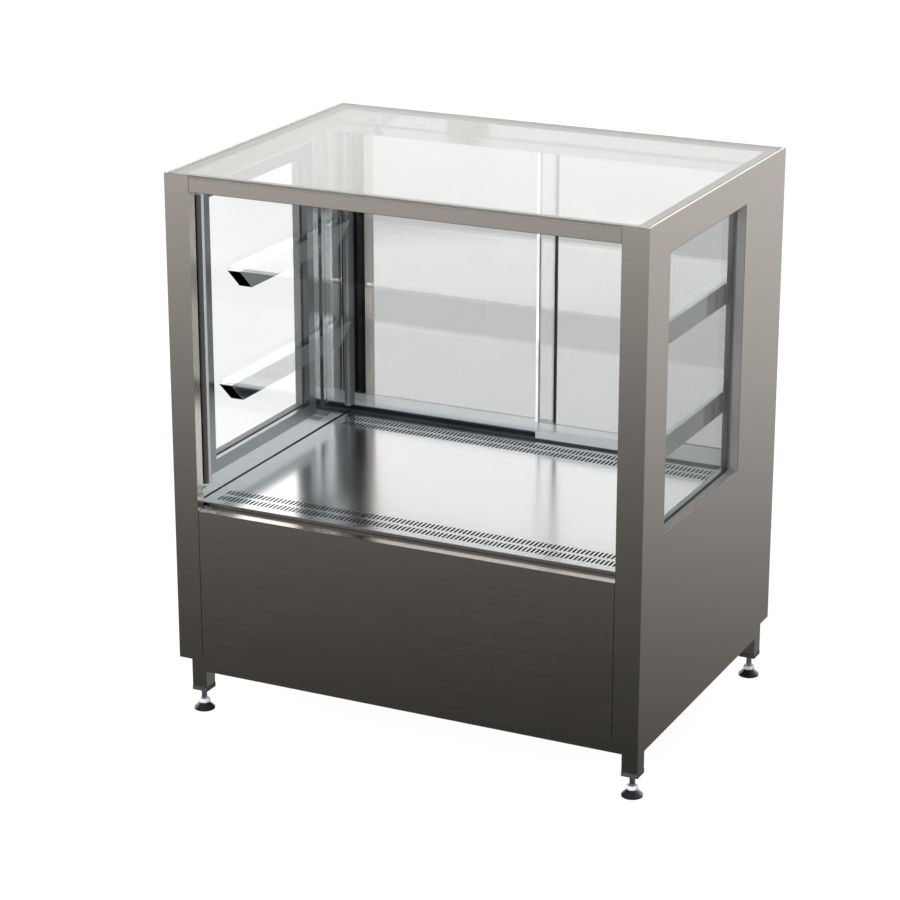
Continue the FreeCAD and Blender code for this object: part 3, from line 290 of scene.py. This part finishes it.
def spread(tree, noise, value, shares):
    """A number that goes between two shares of itself with a noise value."""
    return map_range(tree, noise, (NOISE_LOW, NOISE_HIGH), [value * share for share in shares])


def mixed(tree, share, first, second):
    """Blend a colour socket towards a fixed colour by a share."""
    blend = tree.nodes.new("ShaderNodeMix")
    blend.data_type = "RGBA"
    tree.links.new(share, blend.inputs["Factor"])
    colours = [item for item in blend.inputs if item.type == "RGBA"]
    tree.links.new(first, colours[0])
    colours[1].default_value = second
    return [item for item in blend.outputs if item.type == "RGBA"][0]


def add_bump(tree, shader, height, strength, distance):
    """Let a height value bend a shader's normals."""
    bump = tree.nodes.new("ShaderNodeBump")
    bump.inputs["Strength"].default_value = strength
    bump.inputs["Distance"].default_value = distance
    tree.links.new(height, bump.inputs["Height"])
    tree.links.new(bump.outputs[0], shader.inputs["Normal"])


def new_material(name):
    """A new material, with its node tree and its shader."""
    material = bpy.data.materials.new(name)
    material.use_nodes = True
    shader = material.node_tree.nodes["Principled BSDF"]
    return material, material.node_tree, shader


# ---------------------------------------------------------------- camera, light and floor

def make_camera():
    """The scene's only camera."""
    lens = bpy.data.cameras.new("camera")
    lens.lens = LENS_LENGTH
    lens.sensor_width = SENSOR_WIDTH
    lens.clip_end = FAR_CLIP
    camera = bpy.data.objects.new("camera", lens)
    azimuth, elevation = math.radians(CAMERA_AZIMUTH), math.radians(CAMERA_ELEVATION)
    camera.location = CAMERA_PLACE
    camera.rotation_euler = (math.pi / 2 - elevation, 0, azimuth)
    bpy.context.scene.collection.objects.link(camera)
    bpy.context.scene.camera = camera


def sky_profile(tree, height):
    """The sky's extra light at each height, as a share of its peak."""
    node = tree.nodes.new("ShaderNodeValToRGB")
    stops = node.color_ramp.elements
    for index, (place, level) in enumerate(SKY_STOPS):
        stop = stops[index] if index < 2 else stops.new(place)
        stop.position = place
        stop.color = (level / SKY_PEAK,) * 3 + (1,)
    tree.links.new(height, node.inputs[0])
    return node.outputs["Color"]


def make_world():
    """A white studio with a dark floor, which shows only in reflections.

    It is bright at the back, falls to dark below a soft edge, and is dim overhead and in
    front above the horizon.
    """
    world = bpy.data.worlds.new("studio")
    bpy.context.scene.world = world
    world.use_nodes = True
    tree = world.node_tree
    tree.nodes.clear()
    place = coordinate_parts(tree, "Generated")
    depth, height = place["Y"], place["Z"]

    # Below the horizon: bright, then dark past a soft edge that lies lower at the back.
    below = math_node(tree, "MAXIMUM", math_node(tree, "MULTIPLY", height, -1.0), 0.0)
    backness = map_range(tree, depth, BACK_SPAN, (0.0, 1.0), smooth=True)
    edge = math_node(tree, "MULTIPLY_ADD", backness, DARK_LOWER_AT_BACK, DARK_BELOW)
    slope = math_node(tree, "MULTIPLY", math_node(tree, "SUBTRACT", below, edge),
                      1 / DARK_SOFTNESS)
    top_level = math_node(tree, "MULTIPLY_ADD", backness, FLOOR_CHANGE_AT_BACK, FLOOR_LEVEL)
    floor = math_node(tree, "DIVIDE", top_level,
                      math_node(tree, "ADD", math_node(tree, "EXPONENT", slope), 1.0))

    # Above it: bright at the back, with a brighter band low down, dim overhead and in front.
    sky = math_node(tree, "MULTIPLY_ADD", sky_profile(tree, height), SKY_PEAK, floor)
    overhead = map_range(tree, height, OVERHEAD_SPAN, (1.0, OVERHEAD_SHARE), smooth=True)
    frontness = map_range(tree, depth, FRONT_SPAN, (0.0, 1.0), smooth=True)
    above = map_range(tree, height, FRONT_HEIGHT_SPAN, (0.0, 1.0), smooth=True)
    dimmed = math_node(tree, "MULTIPLY_ADD", math_node(tree, "MULTIPLY", frontness, above),
                       FRONT_CHANGE, 1.0)
    level = math_node(tree, "MULTIPLY", math_node(tree, "MULTIPLY", sky, overhead), dimmed)

    background = tree.nodes.new("ShaderNodeBackground")
    background.inputs["Color"].default_value = STUDIO_TINT
    tree.links.new(level, background.inputs["Strength"])
    out = tree.nodes.new("ShaderNodeOutputWorld")
    tree.links.new(background.outputs[0], out.inputs[0])


def make_lamp(name, place, size, power):
    """A soft area lamp that reflections don't show."""
    light = bpy.data.lights.new(name, "AREA")
    light.shape = "RECTANGLE"
    light.size, light.size_y = size
    light.energy = power
    lamp = bpy.data.objects.new(name, light)
    lamp.location = place
    aim = Vector(LAMP_TARGET) - Vector(place)
    lamp.rotation_euler = aim.to_track_quat("-Z", "Y").to_euler()
    lamp.visible_glossy = False
    bpy.context.scene.collection.objects.link(lamp)


def make_stage():
    """A white floor with a glow of its own, so that shadows on it stay faint."""
    bpy.ops.mesh.primitive_plane_add(size=FLOOR_SIZE)
    floor = bpy.context.object
    floor.name = "floor"
    material, _, shader = new_material("floor")
    shader.inputs["Base Color"].default_value = FLOOR_COLOUR
    shader.inputs["Roughness"].default_value = FLOOR_ROUGHNESS
    shader.inputs["Emission Color"].default_value = (1, 1, 1, 1)
    shader.inputs["Emission Strength"].default_value = FLOOR_GLOW
    floor.data.materials.append(material)
    floor.visible_glossy = False


# ---------------------------------------------------------------- materials

def steel(name, colour, roughness, brush, contrast=0.05, lines=0.05, dull_above=None):
    """Sheet steel with fine brush lines; brush is the noise scale along X, Y and Z.

    Its cut edge is duller above the height dull_above, where one is given.
    """
    material, tree, shader = new_material(name)
    shader.inputs["Metallic"].default_value = 1.0
    strokes = stretched_noise(tree, brush)
    fine = stretched_noise(tree, tuple(FINE_LINE_SCALE * scale for scale in brush), detail=1.0)
    both = math_node(tree, "MULTIPLY_ADD", fine, 0.5,
                     math_node(tree, "MULTIPLY", strokes, 0.5))
    shade = varied(tree, both, colour, (1 - contrast, 1 + contrast))
    if dull_above is not None:
        above = math_node(tree, "GREATER_THAN", coordinate_parts(tree, "Object")["Z"],
                          dull_above)
        shade = mixed(tree, above, shade, CUT_EDGE_COLOUR)
    tree.links.new(shade, shader.inputs["Base Color"])
    tree.links.new(spread(tree, both, roughness, STEEL_ROUGHNESS_SHARES),
                   shader.inputs["Roughness"])
    add_bump(tree, shader, both, lines, STEEL_BUMP)
    return material


def glass(name, colour, meeting=None):
    """Sheet glass: what is behind shows through unbent, and more mirrors at a shallow angle.

    Where meeting is given, it is a door's glass, lighter within that distance of X = 0.
    """
    material, tree, shader = new_material(name)
    tree.nodes.remove(shader)
    facing = tree.nodes.new("ShaderNodeLayerWeight")
    facing.inputs["Blend"].default_value = 0.5
    # Schlick's curve: little mirrors straight on, and everything at a grazing angle.
    steep = math_node(tree, "POWER", facing.outputs["Facing"], 5.0)
    share = math_node(tree, "MULTIPLY_ADD", steep, 1 - GLASS_MIRRORED_STRAIGHT_ON,
                      GLASS_MIRRORED_STRAIGHT_ON)
    clear = tree.nodes.new("ShaderNodeBsdfTransparent")
    tint = varied(tree, stretched_noise(tree, GLASS_HAZE), colour, GLASS_SHADES)
    if meeting is not None:
        tint = lighter_bands(tree, tint, colour, meeting)
    tree.links.new(tint, clear.inputs["Color"])
    mirror = tree.nodes.new("ShaderNodeBsdfGlossy")
    mirror.inputs["Roughness"].default_value = 0.0
    mix = tree.nodes.new("ShaderNodeMixShader")
    for place, socket in enumerate((share, clear.outputs[0], mirror.outputs[0])):
        tree.links.new(socket, mix.inputs[place])
    tree.links.new(mix.outputs[0], tree.nodes["Material Output"].inputs["Surface"])
    return material


def lighter_bands(tree, tint, colour, meeting):
    """A lighter tint where the doors overlap near X = 0, so that two layers look like one.

    It is clear in front of the door pulls too.
    """
    pull_low, pull_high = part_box("left_door_edge")
    distance = math_node(tree, "ABSOLUTE", coordinate_parts(tree, "Object")["X"])
    inside = math_node(tree, "LESS_THAN", distance, meeting)
    past = math_node(tree, "GREATER_THAN", distance, -pull_high.x - PULL_MARGIN)
    before = math_node(tree, "LESS_THAN", distance, -pull_low.x + PULL_MARGIN)
    pull = math_node(tree, "MULTIPLY", past, before)
    one_layer = tuple(part ** 0.5 for part in colour)
    for share, shade in ((inside, one_layer), (pull, CLEAR_TINT)):
        tint = mixed(tree, share, tint, shade + (1,))
    return tint


def plastic(name, colour, roughness, grain=400, strength=0.1):
    """Moulded plastic or rubber with a fine grain."""
    material, tree, shader = new_material(name)
    spots = stretched_noise(tree, grain)
    tree.links.new(varied(tree, spots, colour, PLASTIC_SHADES), shader.inputs["Base Color"])
    tree.links.new(spread(tree, spots, roughness, PLASTIC_ROUGHNESS_SHARES),
                   shader.inputs["Roughness"])
    add_bump(tree, shader, spots, strength, PLASTIC_BUMP)
    return material


def frosted(name, colour, clear=0.5):
    """Milky plastic that lets some light through."""
    material, tree, shader = new_material(name)
    spots = stretched_noise(tree, FROSTED_GRAIN)
    tree.links.new(varied(tree, spots, colour, FROSTED_SHADES), shader.inputs["Base Color"])
    tree.links.new(spread(tree, spots, 1.0, FROSTED_ROUGHNESS), shader.inputs["Roughness"])
    shader.inputs["Transmission Weight"].default_value = clear
    shader.inputs["IOR"].default_value = FROSTED_IOR
    return material


def make_materials():
    """Every material, by name."""
    made = {}
    for maker, finishes in ((steel, STEELS), (glass, GLASSES), (plastic, PLASTICS),
                            (frosted, FROSTED)):
        for name, finish in finishes.items():
            made[name] = maker(name, **finish)
    return made


# ---------------------------------------------------------------- pieces

def mesh_of(shell, name):
    """Turn a built shell into a mesh, with its faces looking outwards."""
    bmesh.ops.recalc_face_normals(shell, faces=shell.faces)
    mesh = bpy.data.meshes.new(name)
    shell.to_mesh(mesh)
    shell.free()
    return mesh


def bridge(shell, first, second):
    """Faces between two closed loops of as many points."""
    for index in range(len(first)):
        following = (index + 1) % len(first)
        shell.faces.new((first[index], first[following], second[following], second[index]))


def smooth(mesh):
    """Shade every face smooth."""
    for face in mesh.polygons:
        face.use_smooth = True


def add_bevel(piece, width):
    """A bevel on a piece's sharp edges."""
    bevel = piece.modifiers.new("bevel", "BEVEL")
    bevel.width = width
    bevel.segments = BEVEL_SEGMENTS
    bevel.limit_method = "ANGLE"
    return bevel


def apply_modifiers(piece):
    """Turn a piece's modifiers into plain mesh."""
    graph = bpy.context.evaluated_depsgraph_get()
    mesh = bpy.data.meshes.new_from_object(piece.evaluated_get(graph))
    piece.modifiers.clear()
    piece.data = mesh


def add_piece(name, mesh, edge_radius=0.0):
    """A new object in the scene, with rounded edges where a radius is given."""
    piece = bpy.data.objects.new(name, mesh)
    bpy.context.scene.collection.objects.link(piece)
    if edge_radius:
        add_bevel(piece, edge_radius).harden_normals = True
        smooth(mesh)
        apply_modifiers(piece)
    return piece


def place_piece(piece, body, slot_name, material, *nodes):
    """Put a finished piece on its body, with its finish, in place of CAD nodes if any."""
    piece.data.materials.clear()
    piece.data.materials.append(materials[material])
    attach(piece, body)
    if nodes:
        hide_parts(*nodes)


# ---------------------------------------------------------------- finished copies of CAD nodes

def dress():
    """Give each CAD node its material."""
    for name, node in frame["nodes"].items():
        for place in node.material_slots:
            place.link = "OBJECT"
            place.material = materials[finish_of(name)]


def finish_of(node):
    """The name of a node's material."""
    return OWN_MATERIAL.get(node, slot_of[node])


def clean_mesh(source, name):
    """A copy of a node's mesh with its corners joined."""
    shell = bmesh.new()
    shell.from_mesh(source.data)
    bmesh.ops.remove_doubles(shell, verts=shell.verts, dist=WELD_DISTANCE)
    mesh = bpy.data.meshes.new(name)
    shell.to_mesh(mesh)
    shell.free()
    if "custom_normal" in mesh.attributes:
        mesh.attributes.remove(mesh.attributes["custom_normal"])
    return mesh


def mark_long_edges(mesh, shortest):
    """Give full bevel weight to the sharp edges that are longer than a length."""
    mesh.attributes.new("bevel_weight_edge", "FLOAT", "EDGE")
    shell = bmesh.new()
    shell.from_mesh(mesh)
    layer = shell.edges.layers.float["bevel_weight_edge"]
    for edge in shell.edges:
        sharp = len(edge.link_faces) == 2 and edge.calc_face_angle() > SHARP_ANGLE
        edge[layer] = float(sharp and edge.calc_length() > shortest)
    shell.to_mesh(mesh)
    shell.free()


def finish_edges(node, radius):
    """A copy of a CAD node with its sharp edges rounded, in place of the node.

    Round nodes are shaded smooth. Only the deck's long edges are rounded, so that its
    slots stay crisp.
    """
    name = "finished_" + node
    piece = add_piece(name, clean_mesh(frame["nodes"][node], name))
    bevel = add_bevel(piece, radius)
    bevel.angle_limit = SHARP_ANGLE
    bevel.use_clamp_overlap = False
    if node == "deck_pan":
        mark_long_edges(piece.data, LONG_EDGE)
        bevel.limit_method = "WEIGHT"
    if node in ROUND_NODES:
        smooth(piece.data)
        bevel.harden_normals = True
    apply_modifiers(piece)
    place_piece(piece, body_of[node], slot_of[node], finish_of(node), node)


# ---------------------------------------------------------------- trim

def ring_mesh(name, axis_span, outer, inner):
    """A flat frame between two rectangles in Y and Z, standing along X between two places."""
    shell = bmesh.new()
    loops = []
    for x in axis_span:
        for low_y, high_y, low_z, high_z in (outer, inner):
            corners = ((low_y, low_z), (high_y, low_z), (high_y, high_z), (low_y, high_z))
            loops.append([shell.verts.new((x, y, z)) for y, z in corners])
    for first, second in ((0, 1), (1, 3), (3, 2), (2, 0)):
        bridge(shell, loops[first], loops[second])
    return mesh_of(shell, name)


def make_window_linings():
    """A dark grey lining in the opening of each side window."""
    inset = LINING_OVERLAP + LINING_GAP
    for side, sign in (("left", -1), ("right", 1)):
        low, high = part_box(f"{side}_window_glass")
        skin_low, skin_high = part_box(f"{side}_outer_skin")
        face, pane = (skin_low.x, low.x) if sign < 0 else (skin_high.x, high.x)
        outer = (low.y + inset, high.y - inset, low.z + inset, high.z - inset)
        inner = (outer[0] + LINING_THICKNESS, outer[1] - LINING_THICKNESS,
                 outer[2] + LINING_THICKNESS, outer[3] - LINING_THICKNESS)
        name = f"{side}_window_lining"
        span = (face - sign * LINING_SET_BACK, pane + sign * LINING_TO_PANE)
        piece = add_piece(name, ring_mesh(name, span, outer, inner), LINING_RADIUS)
        place_piece(piece, CASE, "black_rubber", "lining")


def channel_mesh(name, low, high, open_side, glass_y):
    """A U-shaped strip that clips over a pane's upright edge; open_side is +1 or -1 along X."""
    shell = bmesh.new()
    shut, opened = (low.x, high.x) if open_side > 0 else (high.x, low.x)
    inner = shut + open_side * STRIP_WEB
    outline = [(shut, low.y), (opened, low.y), (opened, glass_y[0]), (inner, glass_y[0]),
               (inner, glass_y[1]), (opened, glass_y[1]), (opened, high.y), (shut, high.y)]
    bottom, top = [[shell.verts.new((x, y, z)) for x, y in outline] for z in (low.z, high.z)]
    bridge(shell, bottom, top)
    shell.faces.new(list(reversed(bottom)))
    shell.faces.new(top)
    return mesh_of(shell, name)


def make_meeting_strips():
    """A white seal on the front door's meeting edge, and a black one on the rear door's."""
    for side, sign, width, slot_name, material in MEETING_STRIPS:
        low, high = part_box(f"{side}_door_glass")
        shoe_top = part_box(f"{side}_door_shoe")[1].z
        edge = low.x if sign > 0 else high.x
        ends = sorted((edge - sign * STRIP_OUTSIDE, edge + sign * width))
        start = Vector((ends[0], low.y - STRIP_PROUD, shoe_top + STRIP_ABOVE_SHOE))
        end = Vector((ends[1], high.y + STRIP_PROUD, top_track_end))
        name = f"{side}_door_meeting_strip"
        mesh = channel_mesh(name, start, end, sign,
                            (low.y - STRIP_BESIDE_GLASS, high.y + STRIP_BESIDE_GLASS))
        place_piece(add_piece(name, mesh, STRIP_RADIUS), f"{side}_door", slot_name, material)


def add_box(shell, first, second):
    """A six-sided block between two opposite corners, to be rounded by its piece's bevel."""
    low, high = [[pick(pair) for pair in zip(first, second)] for pick in (min, max)]
    for vertex in bmesh.ops.create_cube(shell, size=1)["verts"]:
        vertex.co = Vector([(low if vertex.co[axis] < 0 else high)[axis] for axis in range(3)])


def make_bumpers():
    """Rubber seals on the rear posts' edges, and stops on the walls where the doors close."""
    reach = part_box("door_bumpers")[1]
    post_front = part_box("rear_posts")[0]
    post_edge = min(abs(vertex.co.x) for vertex in frame["nodes"]["rear_posts"].data.vertices)
    track_front, track_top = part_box("door_bottom_track")[0].y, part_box("door_bottom_track")[1].z
    doors_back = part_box("left_door_glass")[1].y
    seals, stops = bmesh.new(), bmesh.new()
    for side in (-1, 1):
        add_box(seals, (side * post_edge, post_front.y, post_front.z),
                (side * (post_edge - SEAL_WIDTH), reach.y, reach.z))
        add_box(stops, (side * reach.x, track_front, track_top),
                (side * (reach.x - STOP_THICKNESS), doors_back, top_track_end))
    for name, shell, material, nodes in (
            ("post_seals", seals, "black_rubber", ("door_bumpers",)),
            ("door_stops", stops, "stop_rubber", ())):
        piece = add_piece(name, mesh_of(shell, name), BUMPER_RADIUS)
        place_piece(piece, CASE, "black_rubber", material, *nodes)


def make_foot_collars():
    """A clear cup round the hexagon of each foot screw."""
    for corner in CORNERS:
        pad_low, pad_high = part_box(f"foot_pad_{corner}")
        middle = (pad_low + pad_high) / 2
        shell = bmesh.new()
        section = [shell.verts.new((radius * MM, 0, height * MM))
                   for radius, height in COLLAR_PROFILE]
        edges = [shell.edges.new((section[index], section[(index + 1) % len(section)]))
                 for index in range(len(section))]
        bmesh.ops.spin(shell, geom=section + edges, cent=(0, 0, 0), axis=(0, 0, 1),
                       angle=2 * math.pi, steps=COLLAR_STEPS, use_merge=True)
        for vertex in shell.verts:
            vertex.co += Vector((middle.x, middle.y, pad_high.z))
        name = f"foot_collar_{corner}"
        mesh = mesh_of(shell, name)
        smooth(mesh)
        place_piece(add_piece(name, mesh), f"foot_{corner}", "frosted_plastic",
                    "frosted_plastic")


# ---------------------------------------------------------------- the scene

slot_of = {part["node"]: part["material_slot"] for part in frame["record"]["subparts"]}
body_of = {name: body for body, names in frame["record"]["behaviour"]["bodies"].items()
           for name in names}
top_track_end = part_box("door_top_track")[0].z - BELOW_TOP_TRACK

make_camera()
make_world()
for lamp_facts in LAMPS:
    make_lamp(*lamp_facts)
make_stage()
materials = make_materials()
dress()
for node_name, radius in EDGE_RADIUS.items():
    finish_edges(node_name, radius * MM)
make_window_linings()
make_meeting_strips()
make_bumpers()
make_foot_collars()
bpy.context.scene.view_settings.view_transform = "Standard"
